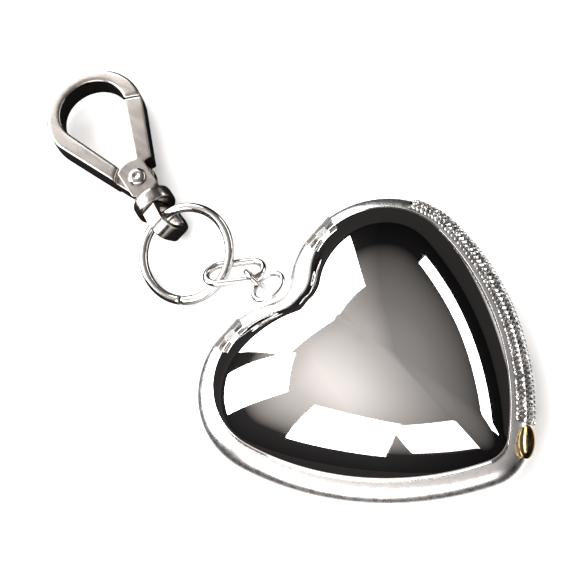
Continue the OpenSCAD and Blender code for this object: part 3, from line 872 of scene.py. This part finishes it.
class HEARTBOX_OT_hook(bpy.types.Operator):
    """Cast the snap hook, its gate and its eye, and turn the rivet"""
    bl_idname = "heartbox.hook"
    bl_label = "Snap hook"

    def execute(self, context):
        voxel = context.scene.heart_chain.voxel
        swivel, hinge = joint("hook_swivel"), joint("gate_hinge")
        along = Vector(swivel["axis"])
        place = placed(Vector(swivel["pos_m"]) / MM, (0, 0, 1), (along.y, -along.x, 0))
        eye_place = place @ Matrix.Rotation(math.radians(62), 4, "Y")
        cast = soft_casting("cast_hook", "hook_body", voxel, 50, place)
        finish_piece(cast, "satin_metal", "hook", "hook_body")
        cast = soft_casting("cast_gate", "gate", voxel * 0.75, 8, place)
        finish_piece(cast, "satin_metal", "gate", "gate")
        cast = soft_casting("cast_eye", "swivel_eye", voxel * 0.8, 16, eye_place)
        finish_piece(cast, "satin_metal", "eye", "swivel_eye")
        head = [(1.7, 2.21), (1.9, 2.25), (1.9, 2.4), (1.78, 2.66), (1.5, 2.86), (1.1, 2.98),
                (0.66, 3.0), (0.5, 2.93), (0.25, 2.88)]
        top = turned("round_rivet", head)
        low = turned("low_rivet_head", [(r, -z) for r, z in head])
        shank = turned("rivet_shank", [(1.1, -2.4), (1.1, 2.4)], n=32)
        rivet = join(top, low, shank)
        put(rivet, placed(Vector(hinge["pos_m"]) / MM, (0, 0, 1), along))
        finish_piece(rivet, "satin_metal", "hook", "gate_rivet", angle=40)
        return {"FINISHED"}


class HEARTBOX_OT_stage(bpy.types.Operator):
    """Set the table, the lights and the camera"""
    bl_idname = "heartbox.stage"
    bl_label = "Stage"

    def execute(self, context):
        deselect_all()
        bpy.ops.mesh.primitive_plane_add(size=3.0, location=(0, 0, -0.0002))
        table = added("table")
        bpy.ops.object.transform_apply(location=True, rotation=True, scale=True)
        table.data.materials.append(SLOT_FINISH["table"])

        right = Vector((0.642, -0.752, -0.147))
        up = Vector((0.740, 0.559, 0.375))
        back = Vector((-0.200, -0.350, 0.915))
        target, far, aside, above = Vector((0, 5, 12)) * MM, 300, -13.15, 10.74
        bpy.ops.object.camera_add()
        camera = context.object
        camera.name = "camera"
        camera.data.lens = 104.2
        camera.data.sensor_width = 36
        camera.data.clip_start = 0.01
        eye = target + far * back * MM
        aim = target + (aside * right + above * up) * MM
        back = (eye - aim).normalized()
        right = (right - right.dot(back) * back).normalized()
        place = Matrix((right, back.cross(right), back)).transposed().to_4x4()
        place.translation = eye
        camera.matrix_world = place
        context.scene.camera = camera

        def soft_box(name, bearing, height, distance, size, power, tone=(1, 1, 1)):
            """A soft light that looks at the box from a bearing and a height in degrees."""
            b, h = math.radians(bearing), math.radians(height)
            way = Vector((math.cos(b) * math.cos(h), math.sin(b) * math.cos(h), math.sin(h)))
            bpy.ops.object.light_add(type="AREA", location=way * distance)
            lamp = context.object
            lamp.name = name
            lamp.data.shape = "RECTANGLE"
            lamp.data.size, lamp.data.size_y = size
            lamp.data.energy = power
            lamp.data.color = tone
            turn = way.to_track_quat("Z", "Y").to_matrix().to_4x4()
            turn.translation = way * distance
            lamp.matrix_world = turn
            lamp.visible_camera = False

        soft_box("window_light", 124, 28, 1.0, (0.54, 0.86), 14)
        soft_box("side_window", 79, 26, 1.0, (0.72, 0.84), 12)
        soft_box("wall_light", -166, 37, 1.0, (0.66, 0.66), 9, (1.0, 0.965, 0.95))
        soft_box("card_light", -126, 37, 1.0, (0.40, 0.5), 1.7, (1.0, 0.97, 0.96))
        soft_box("strip_light", -20, 21, 1.0, (1.3, 0.2), 4.5)
        soft_box("top_light", 60, 82, 1.4, (0.8, 0.8), 9, (1.0, 0.98, 0.96))
        bpy.data.objects["top_light"].visible_glossy = False

        world = bpy.data.worlds.new("studio")
        context.scene.world = world
        world.use_nodes = True
        nodes, links = world.node_tree.nodes, world.node_tree.links
        where = nodes.new("ShaderNodeTexCoord")
        split = nodes.new("ShaderNodeSeparateXYZ")
        ramp = nodes.new("ShaderNodeValToRGB")
        links.new(where.outputs["Generated"], split.inputs["Vector"])
        links.new(split.outputs["Z"], ramp.inputs["Fac"])
        bright_side = (-0.8, 0.6, 0.0)
        lean = nodes.new("ShaderNodeVectorMath")
        lean.operation = "DOT_PRODUCT"
        lean.inputs[1].default_value = bright_side
        wash = nodes.new("ShaderNodeMapRange")
        wash.inputs["From Min"].default_value = -0.15
        wash.inputs["From Max"].default_value = 0.4
        wash.inputs["To Min"].default_value = 0.75
        wash.inputs["To Max"].default_value = 2.7
        links.new(where.outputs["Generated"], lean.inputs[0])
        links.new(lean.outputs["Value"], wash.inputs["Value"])
        links.new(ramp.outputs["Color"], nodes["Background"].inputs["Color"])
        links.new(wash.outputs["Result"], nodes["Background"].inputs["Strength"])
        stops = ((0.0, (0.006, 0.006, 0.006)), (0.34, (0.012, 0.011, 0.011)),
                 (0.5, (0.13, 0.12, 0.113)), (0.8, (0.29, 0.27, 0.26)), (1.0, (0.48, 0.455, 0.44)))
        for i, (at, tone) in enumerate(stops):
            element = ramp.color_ramp.elements[i] if i < 2 else ramp.color_ramp.elements.new(at)
            element.position = at
            element.color = (*tone, 1)
        context.scene.view_settings.view_transform = "Standard"
        return {"FINISHED"}


STEPS = (HEARTBOX_OT_finishes, HEARTBOX_OT_shells, HEARTBOX_OT_beads, HEARTBOX_OT_stones,
         HEARTBOX_OT_linings, HEARTBOX_OT_button, HEARTBOX_OT_chain, HEARTBOX_OT_hook,
         HEARTBOX_OT_stage)


class HEARTBOX_PT_panel(bpy.types.Panel):
    """The steps that build the heart box"""
    bl_idname = "HEARTBOX_PT_panel"
    bl_label = "Heart box"
    bl_space_type = "VIEW_3D"
    bl_region_type = "UI"
    bl_category = "Heart box"

    def draw(self, context):
        for step in STEPS:
            self.layout.operator(step.bl_idname)
        scene = context.scene
        for group in (scene.heart_sizes, scene.heart_chain, scene.heart_finishes):
            for name in group.__annotations__:
                self.layout.prop(group, name)


CLASSES = (HeartSizes, ChainSizes, Finishes, *STEPS, HEARTBOX_PT_panel)


def register():
    for cls in CLASSES:
        bpy.utils.register_class(cls)
    bpy.types.Scene.heart_sizes = PointerProperty(type=HeartSizes)
    bpy.types.Scene.heart_chain = PointerProperty(type=ChainSizes)
    bpy.types.Scene.heart_finishes = PointerProperty(type=Finishes)


def unregister():
    del bpy.types.Scene.heart_finishes
    del bpy.types.Scene.heart_chain
    del bpy.types.Scene.heart_sizes
    for cls in reversed(CLASSES):
        bpy.utils.unregister_class(cls)


def main():
    register()
    bpy.ops.heartbox.finishes()
    bpy.ops.heartbox.shells()
    bpy.ops.heartbox.beads()
    bpy.ops.heartbox.stones()
    bpy.ops.heartbox.linings()
    bpy.ops.heartbox.button()
    bpy.ops.heartbox.chain()
    bpy.ops.heartbox.hook()
    bpy.ops.heartbox.stage()


if __name__ == "__main__":
    main()
